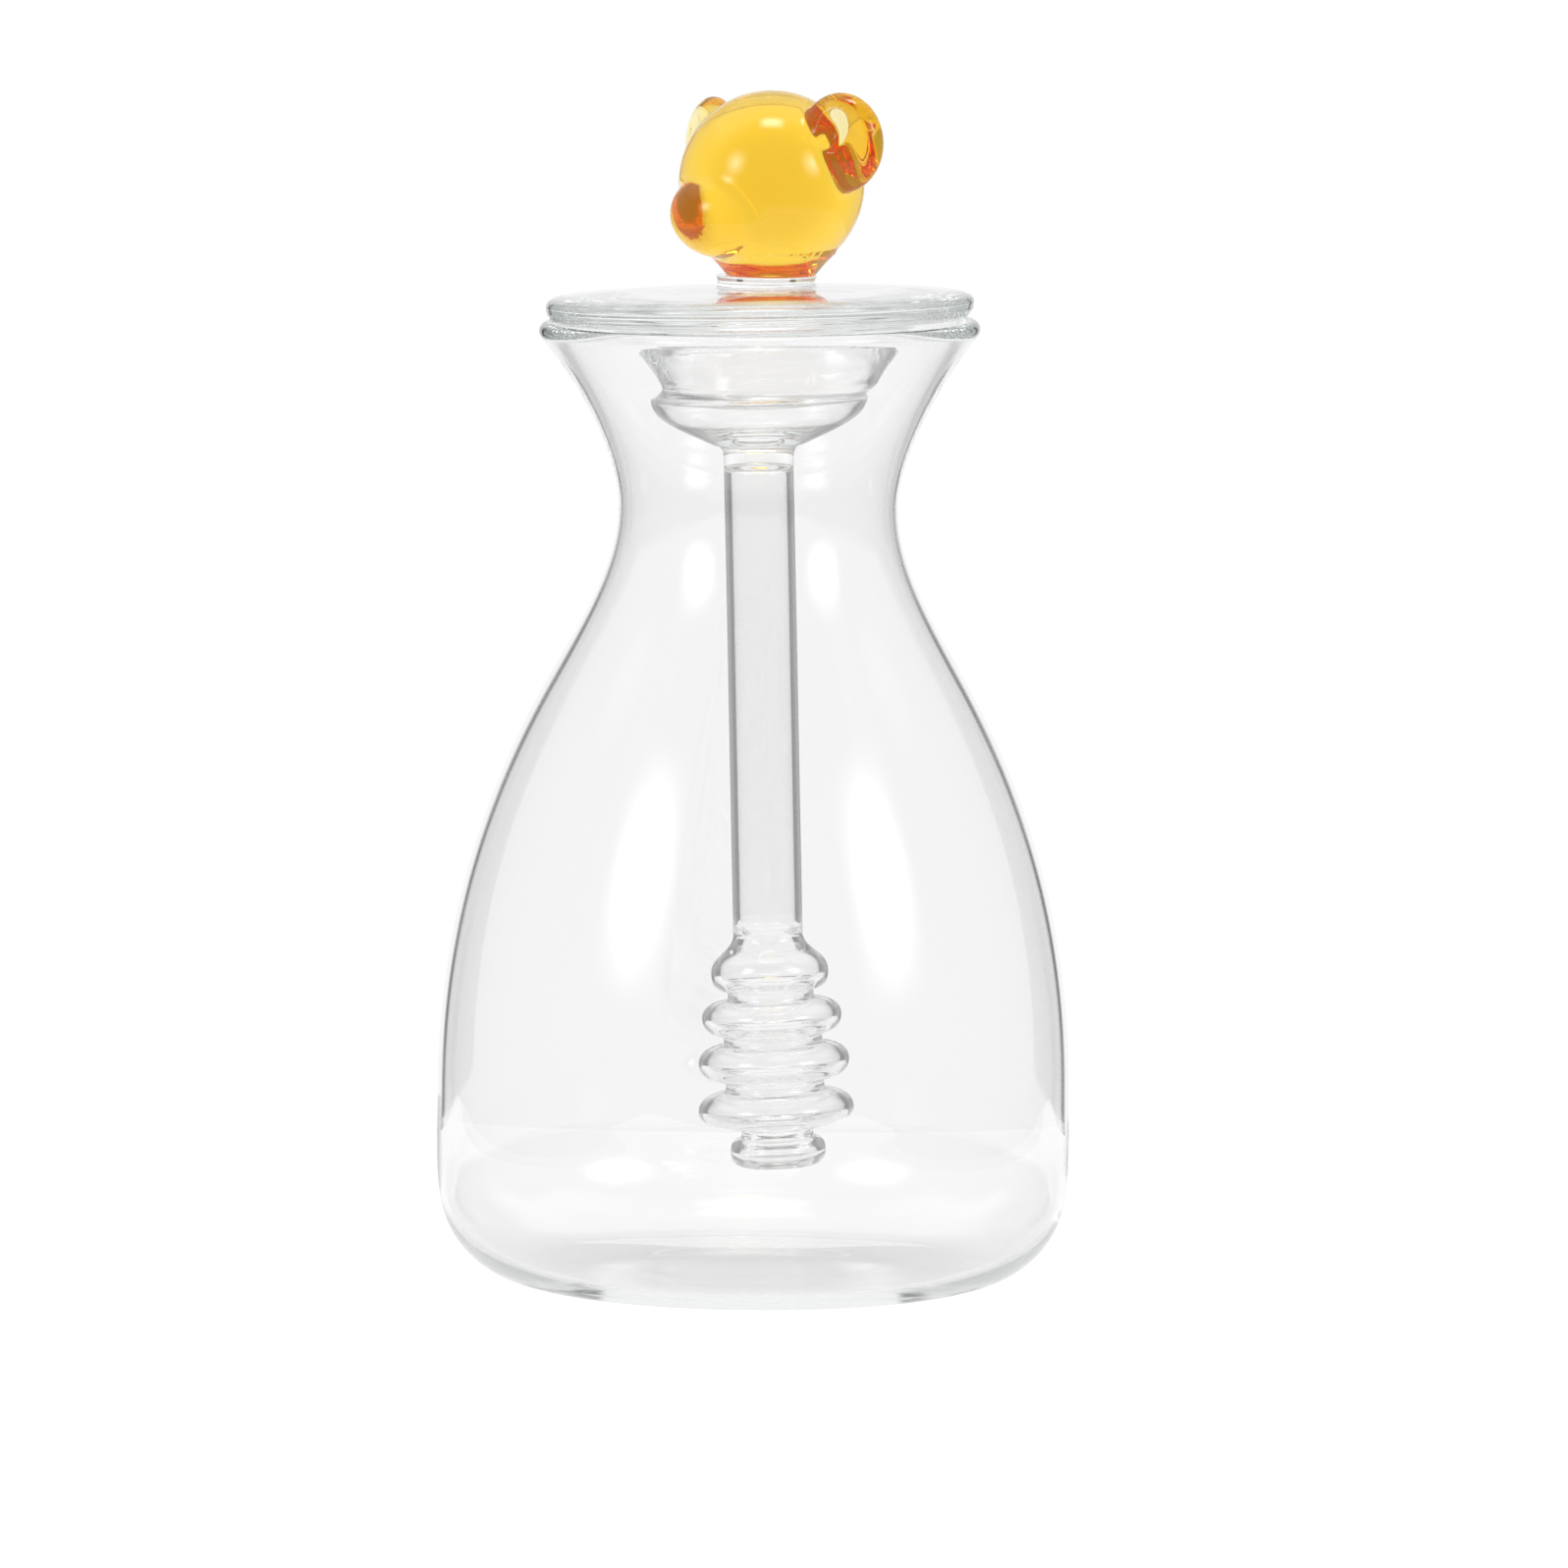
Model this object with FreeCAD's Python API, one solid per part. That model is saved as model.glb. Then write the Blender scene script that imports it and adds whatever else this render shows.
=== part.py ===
import FreeCAD, Part
import math
import os

# A blown glass honey jar and its lid unit, in millimetres, +Z up.
# The origin is the centre of the jar's underside, and the front is toward -Y.
# The lid unit is one flame-welded group: plate, plug bowl, collar, animal head, stem and dipper.

# Jar: foot, corner, belly, shoulder and waist of the outer wall
BELLY_R = 45.05
BELLY_Z = 27.0
CORNER_R = 13.9
CORNER_TURN_DEG = 80.0
CORNER_TUCK = 0.45
SHOULDER_R = 29.1
SHOULDER_Z = 87.0
SHOULDER_SLOPE_DEG = -29.7
WAIST_R = 19.85
WAIST_Z = 110.8
MOUTH_SLOPE_DEG = 36.9

# Jar: rim bead and the wall at each station
RIM_R = 31.35
RIM_TOP_Z = 137.5
BEAD_R = 1.25
BASE_WALL = 1.5
CORNER_WALL = 0.9
BELLY_WALL = 0.8
SHOULDER_WALL = 1.2
WAIST_WALL = 1.05
FOOT_RING_WIDTH = 6.0
PUSH_UP = 0.7

# Pull of each wall curve at its lower and upper end, as a share of the span
CORNER_PULL = (0.378, 0.378)
SIDE_PULL = (0.33, 0.33)
BELLY_PULL = (0.42, 0.27)
SHOULDER_PULL = (0.437, 0.298)
MOUTH_PULL = (0.278, 0.32)

# Lid plate, set in from the rim's outline, and the boss under it
PLATE_INSET = 0.95
PLATE_THICK = 4.8
PLATE_EDGE_R = 2.35
SEAT_GAP = 0.15
BOSS_SPREAD_INSET = 4.9
BOSS_R = 14.9
BOSS_DROP = 10.6
BOSS_OFFSET = 0.6

# Plug bowl under the boss, with a lip that stands out past it
BOWL_LIP = 0.5
BOWL_DEPTH = 5.8
BOWL_WALL = 1.5
BOWL_FLOOR = 1.3

# Stem tube: its lean, walls, length and the flare at its top
STEM_LEAN_DEG = 1.6
STEM_R = 4.95
STEM_WALL = 1.0
STEM_LENGTH = 71.2
STEM_FLARE = 1.25
STEM_FLARE_LENGTH = 2.4
STEM_PLUG = 2.6
WELD_SLANT_DEG = 5.0

# Dipper head: rings from the weld down, each with its drop below the weld and its radius
DIPPER_LEAN_DEG = 1.3
RING_DROPS = (5.1, 11.4, 17.9, 24.9, 31.1)
RING_RADII = (8.35, 9.95, 10.75, 11.1, 6.8)
NECK_DROPS = (8.3, 14.7, 21.4, 28.3)
NECK_RADII = (6.1, 7.0, 7.0, 5.1)
DIPPER_END_DROP = 2.1
DIPPER_END_R = 4.6

# Collar and head on top of the plate
COLLAR_R = 7.3
COLLAR_WAIST = 0.35
COLLAR_HEIGHT = 1.8
COLLAR_OFFSET = 0.9
HEAD_OFFSET = 1.5
HEAD_R = 13.2
HEAD_NECK_LAP = 0.3
HEAD_CENTRE_RISE = 13.0
CHEEK_DEG = 50.0
FACE_YAW_DEG = 48.0

# Muzzle: a ball sunk into the head's surface, with a soft blend round it
MUZZLE_R = 6.45
MUZZLE_SINK = 1.7
MUZZLE_PITCH_DEG = 18.8
MUZZLE_BLEND_R = 2.0

# Ears: thick dished lobes that stand on the head's surface and turn outward
EAR_R = 6.5
EAR_THICK = 7.0
EAR_DISH = 2.0
EAR_DISH_R = 3.6
EAR_STAND = 1.0
EAR_LIFT_DEG = 29.5
EAR_SWEEP_DEG = 8.4
EAR_SPLAY_DEG = 22.0

# Pull of the lid unit's curves, as a share of the span that each one crosses
BOSS_PULL = (0.4, 0.55)
BOWL_LIP_PULL = 0.31
BOWL_ROOT_PULL = (0.52, 0.155)
BOWL_INSIDE_PULL = (0.5, 0.27)
FLARE_PULL = (0.8, 0.6)
RING_PULL = 0.62
NECK_PULL = 0.5
DIPPER_END_PULL = 0.6
CHEEK_PULL = (0.4, 0.3)
EAR_BACK_PULL = (0.6, 0.6)
EAR_FRONT_PULL = (0.6, 0.4)
EAR_DISH_PULL = 0.5

UP = FreeCAD.Vector(0, 0, 1)
ORIGIN = FreeCAD.Vector(0, 0, 0)


# Curve helpers in the XZ plane
def point(radius, height):
    return FreeCAD.Vector(radius, 0, height)


def line(start, end):
    return Part.LineSegment(start, end).toShape()


def arc(start, middle, end):
    return Part.Arc(start, middle, end).toShape()


def bezier(start, start_pull, end_pull, end):
    curve = Part.BezierCurve()
    curve.setPoles([start, start_pull, end_pull, end])
    return curve.toShape()


def heading(slope_deg):
    # A unit vector up the wall: 0 is upright, positive leans outward
    slope = math.radians(slope_deg)
    return point(math.sin(slope), math.cos(slope))


def span(start, start_slope, end, end_slope, pull):
    chord = start.distanceToPoint(end)
    start_pull = start + heading(start_slope) * (chord * pull[0])
    end_pull = end - heading(end_slope) * (chord * pull[1])
    return bezier(start, start_pull, end_pull, end)


def revolved(edges):
    face = Part.Face(Part.Wire(edges))
    return face.revolve(ORIGIN, UP, 360)


def half_space(base, normal):
    # A block that fills the side of a plane that its normal points to
    reach = 200.0
    block = Part.makeBox(reach, reach, reach, FreeCAD.Vector(-reach / 2, -reach / 2, 0))
    block.Placement = FreeCAD.Placement(base, FreeCAD.Rotation(UP, normal))
    return block


# Places that the pieces share
bead_centre = point(RIM_R - BEAD_R, RIM_TOP_Z - BEAD_R)
plate_r = RIM_R - PLATE_INSET
edge_centre_r = plate_r - PLATE_EDGE_R
seat_reach = PLATE_EDGE_R + BEAD_R + SEAT_GAP
seat_rise = math.sqrt(seat_reach ** 2 - (bead_centre.x - edge_centre_r) ** 2)
plate_bottom_z = bead_centre.z + seat_rise - PLATE_EDGE_R
plate_top_z = plate_bottom_z + PLATE_THICK
collar_top_z = plate_top_z + COLLAR_HEIGHT
head_centre = FreeCAD.Vector(HEAD_OFFSET, 0, collar_top_z + HEAD_CENTRE_RISE)
bowl_top = point(0, plate_bottom_z - BOSS_DROP)
bowl_r = BOSS_R + BOWL_LIP
root_r = STEM_R + STEM_FLARE

# The plug bowl, stem and dipper hang along a leaning line from the centre of the bowl's top
stem_frame = FreeCAD.Placement(bowl_top, FreeCAD.Rotation(FreeCAD.Vector(0, 1, 0), -STEM_LEAN_DEG))
stem_down = stem_frame.Rotation.multVec(FreeCAD.Vector(0, 0, -1))
weld = bowl_top + stem_down * (BOWL_DEPTH + STEM_LENGTH)
dipper_turn = FreeCAD.Rotation(FreeCAD.Vector(0, 1, 0), -STEM_LEAN_DEG - DIPPER_LEAN_DEG)
dipper_frame = FreeCAD.Placement(weld, dipper_turn)
weld_turn = FreeCAD.Rotation(FreeCAD.Vector(0, 1, 0), -STEM_LEAN_DEG - WELD_SLANT_DEG)
weld_normal = weld_turn.multVec(FreeCAD.Vector(0, 0, 1))


# Jar: one wall from foot to rim, drawn as matching outer and inner curves
def jar_stations():
    # Each station: outer point, wall slope, wall thickness
    corner_turn = math.radians(CORNER_TURN_DEG)
    corner_r = BELLY_R - CORNER_TUCK
    corner_z = CORNER_R * (1 - math.cos(corner_turn))
    foot_r = corner_r - CORNER_R * math.sin(corner_turn)
    mouth = bead_centre + side_step(MOUTH_SLOPE_DEG) * BEAD_R
    return [
        (point(foot_r, 0), 90.0, BASE_WALL),
        (point(corner_r, corner_z), 90.0 - CORNER_TURN_DEG, CORNER_WALL),
        (point(BELLY_R, BELLY_Z), 0.0, BELLY_WALL),
        (point(SHOULDER_R, SHOULDER_Z), SHOULDER_SLOPE_DEG, SHOULDER_WALL),
        (point(WAIST_R, WAIST_Z), 0.0, WAIST_WALL),
        (mouth, MOUTH_SLOPE_DEG, BEAD_R * 2),
    ]


def side_step(slope_deg):
    # A unit vector out of the wall, square to its slope
    slope = math.radians(slope_deg)
    return point(math.cos(slope), -math.sin(slope))


def jar_body():
    stations = jar_stations()
    pulls = (CORNER_PULL, SIDE_PULL, BELLY_PULL, SHOULDER_PULL, MOUTH_PULL)
    outer = [station[0] for station in stations]
    inner = [place - side_step(slope) * wall for place, slope, wall in stations]
    slopes = [station[1] for station in stations]
    edges = []
    for index, pull in enumerate(pulls):
        edges.append(span(outer[index], slopes[index], outer[index + 1], slopes[index + 1], pull))
    bead_crest = bead_centre + heading(MOUTH_SLOPE_DEG) * BEAD_R
    edges.append(arc(outer[-1], bead_crest, inner[-1]))
    for index in reversed(range(len(pulls))):
        edges.append(span(inner[index], slopes[index], inner[index + 1], slopes[index + 1], pulls[index]))
    ring_inner_r = outer[0].x - FOOT_RING_WIDTH
    push_top = point(0, PUSH_UP)
    floor_top = point(0, PUSH_UP + BASE_WALL)
    ring_edge = point(ring_inner_r, 0)
    half_ring = ring_inner_r / 2
    edges.append(bezier(inner[0], inner[0] - point(half_ring, 0), floor_top + point(half_ring, 0), floor_top))
    edges.append(line(floor_top, push_top))
    edges.append(bezier(push_top, push_top + point(half_ring, 0), ring_edge - point(half_ring, 0), ring_edge))
    edges.append(line(ring_edge, outer[0]))
    return revolved(edges)


# Lid plate with its round edge, and the boss that spreads into its underside
def plate_disc():
    side = PLATE_THICK / 2 - PLATE_EDGE_R
    bottom = point(edge_centre_r, plate_bottom_z)
    top = point(edge_centre_r, plate_top_z)
    lower = point(plate_r, plate_bottom_z + PLATE_EDGE_R)
    upper = point(plate_r, lower.z + side * 2)
    bend = PLATE_EDGE_R * math.sqrt(0.5)
    lower_mid = point(edge_centre_r + bend, lower.z - bend)
    upper_mid = point(edge_centre_r + bend, upper.z + bend)
    centre_bottom = point(0, plate_bottom_z)
    centre_top = point(0, plate_top_z)
    edges = [
        line(centre_bottom, bottom),
        arc(bottom, lower_mid, lower),
        line(lower, upper),
        arc(upper, upper_mid, top),
        line(top, centre_top),
        line(centre_top, centre_bottom),
    ]
    return revolved(edges)


def boss():
    # Drawn past the bowl's top plane, then cut back to it
    spare = 1.0
    sink = PLATE_THICK / 2
    end_z = bowl_top.z - spare
    foot = point(BOSS_R, end_z)
    neck = point(BOSS_R, bowl_top.z)
    spread_r = plate_r - BOSS_SPREAD_INSET
    spread = point(spread_r, plate_bottom_z)
    inside = point(spread_r, plate_bottom_z + sink)
    neck_pull = neck + point(0, BOSS_DROP * BOSS_PULL[0])
    spread_pull = spread - point((spread_r - BOSS_R) * BOSS_PULL[1], 0)
    edges = [
        line(point(0, end_z), foot),
        line(foot, neck),
        bezier(neck, neck_pull, spread_pull, spread),
        line(spread, inside),
        line(inside, point(0, inside.z)),
        line(point(0, inside.z), point(0, end_z)),
    ]
    solid = revolved(edges)
    solid.translate(FreeCAD.Vector(BOSS_OFFSET, 0, 0))
    return solid.cut(half_space(bowl_top, stem_down))


def lid_plate():
    return plate_disc().fuse(boss()).removeSplitter()


# Plug bowl: a hollow cup whose mouth is closed by the boss
def plug_bowl():
    root = point(root_r, -BOWL_DEPTH)
    lip = point(bowl_r, 0)
    inner_lip = point(bowl_r - BOWL_WALL, 0)
    floor = point(0, BOWL_FLOOR - BOWL_DEPTH)
    lip_pull = lip - point(0, BOWL_DEPTH * BOWL_LIP_PULL)
    root_pull = root + point((bowl_r - root_r) * BOWL_ROOT_PULL[0], BOWL_DEPTH * BOWL_ROOT_PULL[1])
    inner_pull = inner_lip + point(0, floor.z * BOWL_INSIDE_PULL[1])
    floor_pull = floor + point(inner_lip.x * BOWL_INSIDE_PULL[0], 0)
    edges = [
        bezier(lip, lip_pull, root_pull, root),
        line(root, point(0, -BOWL_DEPTH)),
        line(point(0, -BOWL_DEPTH), floor),
        bezier(floor, floor_pull, inner_pull, inner_lip),
        line(inner_lip, lip),
    ]
    solid = revolved(edges)
    solid.Placement = stem_frame
    return solid


# Stem: a tube with a flared, solid top and a sealed bore, cut at the slanted weld
def stem_tube():
    top_z = -BOWL_DEPTH
    flare_z = top_z - STEM_FLARE_LENGTH
    end_z = top_z - STEM_LENGTH - STEM_R
    bore_z = top_z - STEM_PLUG
    bore_r = STEM_R - STEM_WALL
    root = point(root_r, top_z)
    flare = point(STEM_R, flare_z)
    root_pull = root - point(STEM_FLARE * FLARE_PULL[0], 0)
    flare_pull = flare + point(0, STEM_FLARE_LENGTH * FLARE_PULL[1])
    edges = [
        line(point(0, top_z), root),
        bezier(root, root_pull, flare_pull, flare),
        line(flare, point(STEM_R, end_z)),
        line(point(STEM_R, end_z), point(bore_r, end_z)),
        line(point(bore_r, end_z), point(bore_r, bore_z)),
        line(point(bore_r, bore_z), point(0, bore_z)),
        line(point(0, bore_z), point(0, top_z)),
    ]
    solid = revolved(edges)
    solid.Placement = stem_frame
    return solid.cut(half_space(weld, weld_normal * -1))


# Dipper head: rings and necks as one flowing profile below the weld
def dipper_head():
    drops = [0.0]
    radii = [STEM_R]
    for index, drop in enumerate(RING_DROPS):
        drops.append(drop)
        radii.append(RING_RADII[index])
        if index < len(NECK_DROPS):
            drops.append(NECK_DROPS[index])
            radii.append(NECK_RADII[index])
    top = point(STEM_R, STEM_R)
    places = [point(radius, -drop) for radius, drop in zip(radii, drops)]
    edges = [line(point(0, top.z), top), line(top, places[0])]
    for upper, lower in zip(places, places[1:]):
        fall = upper.z - lower.z
        ring_pull = fall * RING_PULL
        neck_pull = fall * NECK_PULL
        upper_pull = ring_pull if upper.x > lower.x else neck_pull
        lower_pull = neck_pull if upper.x > lower.x else ring_pull
        edges.append(bezier(upper, upper - point(0, upper_pull), lower + point(0, lower_pull), lower))
    last = places[-1]
    tip = point(0, last.z - DIPPER_END_DROP)
    end = point(DIPPER_END_R, tip.z)
    end_pull = DIPPER_END_DROP * DIPPER_END_PULL
    edges.append(bezier(last, last - point(0, end_pull), end + point(end_pull, 0), end))
    edges.append(line(end, tip))
    edges.append(line(tip, point(0, top.z)))
    solid = revolved(edges)
    solid.Placement = dipper_frame
    return solid.cut(half_space(weld, weld_normal))


# Collar: the short clear neck between plate and head
def knob_collar():
    bottom = point(COLLAR_R, plate_top_z)
    top = point(COLLAR_R, collar_top_z)
    waist = point(COLLAR_R - COLLAR_WAIST, (plate_top_z + collar_top_z) / 2)
    edges = [
        line(point(0, plate_top_z), bottom),
        arc(bottom, waist, top),
        line(top, point(0, collar_top_z)),
        line(point(0, collar_top_z), point(0, plate_top_z)),
    ]
    solid = revolved(edges)
    solid.translate(FreeCAD.Vector(COLLAR_OFFSET, 0, 0))
    return solid


# Head: a solid ball that runs down into a short neck on the collar
def bear_head():
    touch = math.radians(CHEEK_DEG)
    rise = HEAD_CENTRE_RISE
    cheek = point(HEAD_R * math.sin(touch), -HEAD_R * math.cos(touch))
    neck = point(COLLAR_R + HEAD_NECK_LAP, -rise)
    along = point(-math.cos(touch), -math.sin(touch))
    neck_run = cheek.distanceToPoint(neck)
    cheek_pull = cheek + along * (neck_run * CHEEK_PULL[0])
    neck_pull = neck + point(0, neck_run * CHEEK_PULL[1])
    edges = [
        arc(point(0, HEAD_R), point(HEAD_R, 0), cheek),
        bezier(cheek, cheek_pull, neck_pull, neck),
        line(neck, point(0, -rise)),
        line(point(0, -rise), point(0, HEAD_R)),
    ]
    solid = revolved(edges)
    solid.translate(head_centre)
    return solid


def face_frame():
    # Local +X runs out of the face, +Y to the animal's left, +Z up
    turn = FreeCAD.Rotation(UP, -90.0 - FACE_YAW_DEG)
    return FreeCAD.Placement(head_centre, turn)


def muzzle():
    # Drawn about its own axis from the head's centre: the ball, then the blend down to the head
    centre = point(0, HEAD_R - MUZZLE_SINK)
    blend_z = ((HEAD_R + MUZZLE_BLEND_R) ** 2 - (MUZZLE_R + MUZZLE_BLEND_R) ** 2 + centre.z ** 2) / (2 * centre.z)
    blend_x = math.sqrt((HEAD_R + MUZZLE_BLEND_R) ** 2 - blend_z ** 2)
    blend_centre = point(blend_x, blend_z)
    tip = centre + UP * MUZZLE_R
    ball_end = centre + (blend_centre - centre) * (MUZZLE_R / (MUZZLE_R + MUZZLE_BLEND_R))
    head_start = blend_centre * (HEAD_R / (HEAD_R + MUZZLE_BLEND_R))
    ball_middle = centre + unit(tip - centre + ball_end - centre) * MUZZLE_R
    blend_middle = blend_centre + unit(ball_end + head_start - blend_centre * 2) * MUZZLE_BLEND_R
    edges = [
        arc(tip, ball_middle, ball_end),
        arc(ball_end, blend_middle, head_start),
        line(head_start, ORIGIN),
        line(ORIGIN, tip),
    ]
    solid = revolved(edges)
    aim = FreeCAD.Rotation(FreeCAD.Vector(0, 1, 0), 90.0 + MUZZLE_PITCH_DEG)
    solid.Placement = face_frame().multiply(FreeCAD.Placement(ORIGIN, aim))
    return solid.cut(bear_head())


def unit(vector):
    return vector * (1 / vector.Length)


def ear(side):
    # A thick dished lobe that faces forward and outward: side 1 is the animal's left, -1 its right
    half = EAR_THICK / 2
    back = point(0, -half)
    front = point(0, half - EAR_DISH)
    crest = point(EAR_DISH_R, half)
    rim = point(EAR_R, 0)
    dish_pull = point(EAR_DISH_R * EAR_DISH_PULL, 0)
    edges = [
        bezier(back, back + point(EAR_R * EAR_BACK_PULL[0], 0), rim - point(0, half * EAR_BACK_PULL[1]), rim),
        bezier(rim, rim + point(0, half * EAR_FRONT_PULL[0]),
               crest + point((EAR_R - EAR_DISH_R) * EAR_FRONT_PULL[1], 0), crest),
        bezier(crest, crest - dish_pull, front + dish_pull, front),
        line(front, back),
    ]
    solid = revolved(edges)
    sweep = math.radians(EAR_SWEEP_DEG)
    lift = math.radians(EAR_LIFT_DEG)
    outward = FreeCAD.Vector(-math.sin(sweep) * math.cos(lift), side * math.cos(sweep) * math.cos(lift),
                             math.sin(lift))
    splay = FreeCAD.Rotation(UP, side * EAR_SPLAY_DEG)
    forward = splay.multiply(FreeCAD.Rotation(UP, FreeCAD.Vector(1, 0, 0)))
    local = FreeCAD.Placement(outward * (HEAD_R + EAR_STAND), forward)
    solid.Placement = face_frame().multiply(local)
    return solid.cut(bear_head())


# Write one file per piece
pieces = {
    "jar_body": jar_body(),
    "lid_plate": lid_plate(),
    "plug_bowl": plug_bowl(),
    "knob_collar": knob_collar(),
    "bear_head": bear_head(),
    "muzzle": muzzle(),
    "left_ear": ear(1),
    "right_ear": ear(-1),
    "stem_tube": stem_tube(),
    "dipper_head": dipper_head(),
}

os.makedirs("parts", exist_ok=True)
for name, shape in pieces.items():
    shape.exportStep("parts/" + name + ".step")
    box = shape.BoundBox
    print(name, "solids", len(shape.Solids), "valid", shape.isValid(), "volume", round(shape.Volume, 1),
          "z", round(box.ZMin, 2), round(box.ZMax, 2), "x", round(box.XMin, 2), round(box.XMax, 2))
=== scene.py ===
# A blown glass honey jar and its lid unit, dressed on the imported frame.
# Shapes are worked out in millimetres about the jar's axis, +Z up, and made in metres.
import math

import bpy
import numpy as np
from mathutils import Matrix, Vector


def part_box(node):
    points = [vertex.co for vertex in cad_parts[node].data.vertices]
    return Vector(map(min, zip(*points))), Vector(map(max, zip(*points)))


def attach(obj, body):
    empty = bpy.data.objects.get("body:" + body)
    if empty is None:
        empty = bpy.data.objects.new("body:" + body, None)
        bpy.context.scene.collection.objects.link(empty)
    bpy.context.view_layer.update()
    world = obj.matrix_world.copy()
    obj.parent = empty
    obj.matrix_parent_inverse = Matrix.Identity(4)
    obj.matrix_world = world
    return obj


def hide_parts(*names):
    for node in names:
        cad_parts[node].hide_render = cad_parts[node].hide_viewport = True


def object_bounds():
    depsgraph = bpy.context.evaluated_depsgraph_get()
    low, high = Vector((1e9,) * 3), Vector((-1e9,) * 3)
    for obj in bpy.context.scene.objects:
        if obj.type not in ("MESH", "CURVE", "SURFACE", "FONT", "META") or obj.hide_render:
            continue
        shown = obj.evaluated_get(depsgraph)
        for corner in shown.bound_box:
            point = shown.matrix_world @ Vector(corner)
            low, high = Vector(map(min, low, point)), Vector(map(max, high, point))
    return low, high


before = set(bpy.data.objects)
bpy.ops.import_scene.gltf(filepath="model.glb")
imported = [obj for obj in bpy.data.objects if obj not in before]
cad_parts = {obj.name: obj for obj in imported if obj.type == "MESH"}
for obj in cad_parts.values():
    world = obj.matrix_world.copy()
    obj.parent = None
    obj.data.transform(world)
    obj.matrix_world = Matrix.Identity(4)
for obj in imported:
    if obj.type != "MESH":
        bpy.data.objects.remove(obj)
cad_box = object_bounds()

MM = 0.001


def top_of(node):
    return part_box(node)[1].z / MM


# Heights that the frame gives
RIM_TOP = top_of("jar_body")
PLATE_TOP = top_of("lid_plate")
COLLAR_TOP = top_of("knob_collar")

# Jar: stations up the outer wall as radius, height, slope from upright and wall thickness, then the pulls
# and the number of steps of the curve from each station to the next
JAR_STATIONS = (
    (30.911, 0.0, 90.0, 1.5),
    (44.6, 11.486, 10.0, 0.9),
    (45.05, 27.0, 0.0, 0.8),
    (29.1, 87.0, -29.7, 1.2),
    (19.85, 110.8, 0.0, 1.05),
    (31.1, 135.499, 36.9, 2.5),
)
JAR_PULLS = ((0.378, 0.378), (0.33, 0.33), (0.42, 0.27), (0.437, 0.298), (0.278, 0.32))
JAR_STEPS = (28, 16, 44, 26, 28)
JAR_BOX_INSET = 0.06
FOOT_RING_WIDTH = 6.0
PUSH_UP = 0.7
BASE_WALL = 1.5
BEAD_R = 1.25
RIM_TILT_DEG = 0.7
RIM_TILT_FROM = 122.0

# Collar and plate
COLLAR_R = 7.3
COLLAR_WAIST = 0.35
COLLAR_EDGE = 0.3
COLLAR_FILLET = 0.5
COLLAR_OFFSET = 0.9
PLATE_R = 30.4
PLATE_THICK = 4.8
PLATE_EDGE_R = 2.35
PLATE_EDGE_PULL = 1.0
PLATE_TILT_DEG = 1.3
PLATE_PITCH_DEG = 1.2
PLATE_DOME = 0.9
DOME_PULL_RADII = (17.0, 22.0)
RIPPLE_HEIGHT = 0.035
RIPPLE_LENGTH = 1.0
RIPPLE_SWELL = 1.7
RIPPLE_FROM_R = 26.5
RIPPLE_FADE = 2.0

# Boss under the plate, and the bowl under the boss
BOSS_SPREAD_R = 25.5
BOSS_R = 14.9
BOSS_DROP = 9.5
BOSS_OFFSET = 1.5
BOSS_LIP = 0.6
BOSS_BULGE = 2.0
BOSS_ROOF = 0.75
BOSS_WALL = 1.3
BOSS_FLOOR = 1.4
BOSS_AIR_INSET = 5.2
BOWL_R = 15.4
BOWL_DEPTH = 6.9
BOWL_WALL = 1.0
BOWL_FLOOR = 1.3

# Stem and dipper: the drops are measured from the weld between them
STEM_R = 4.95
STEM_WALL = 1.0
STEM_FLARE = 1.25
STEM_FLARE_LENGTH = 2.4
STEM_PLUG = 2.6
STEM_LENGTH = 71.2
STEM_LEAN_DEG = 1.6
STEM_BEND_DROP = 3.1
WELD_PINCH = 0.5
DIPPER_LEAN_DEG = 1.6
DIPPER_WALL = 1.25
RING_DROPS = (5.1, 11.4, 17.9, 24.9, 31.1)
RING_RADII = (8.35, 9.95, 10.75, 11.1, 6.8)
RING_FILLET = 0.5
NECK_DROPS = (8.3, 14.7, 21.4, 28.3)
NECK_RADII = (6.1, 7.0, 7.0, 5.1)
DIPPER_END_DROP = 2.1
DIPPER_END_R = 4.6

# Heights down the lid unit
PLATE_BOTTOM = PLATE_TOP - PLATE_THICK
BOWL_TOP = PLATE_BOTTOM - BOSS_DROP
ROOT = BOWL_TOP - BOWL_DEPTH
WELD = ROOT - STEM_LENGTH

# Head: a ball on a short cone, with a muzzle and two ears
HEAD_R = 13.2
HEAD_OFFSET = 1.5
HEAD_CENTRE_RISE = 13.0
HEAD_LAP = 0.02
CONE_R = 6.3
CONE_SPREAD = 0.83
CONE_RISES = (-1.2, 3.2)
CONE_BLEND = 0.8
FACE_YAW_DEG = 48.0
MUZZLE_RADII = (7.5, 7.9, 6.3)
MUZZLE_REACH = 9.8
MUZZLE_PITCH_DEG = 24.0
EAR_RADII = (3.6, 6.4, 7.1)
EAR_SPLAY_DEG = 22.0
DIMPLE_RADII = (2.0, 1.9, 2.8)
DIMPLE_OUT = 0.2
DIMPLE_RISE = 2.0
DIMPLE_BLEND = 1.0
FACE_BLEND = 1.2
# How far each ear stands from the ball's centre, then its lift and its sweep back in degrees
NEAR_EAR = (14.2, 26.5, 8.4)
FAR_EAR = (13.0, 21.0, -1.0)

# Glass: absorption per metre, and the size and height in metres of the skin's waviness
GLASS_IOR = 1.47
CLEAR = {"colour": (0.9, 0.96, 0.93), "density": 6.0, "wave_size": 0.02, "wave_height": 0.00002}
AMBER = {"colour": (0.997, 0.864, 0.04), "density": 140.0, "wave_size": 0.008, "wave_height": 0.00002}

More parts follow.
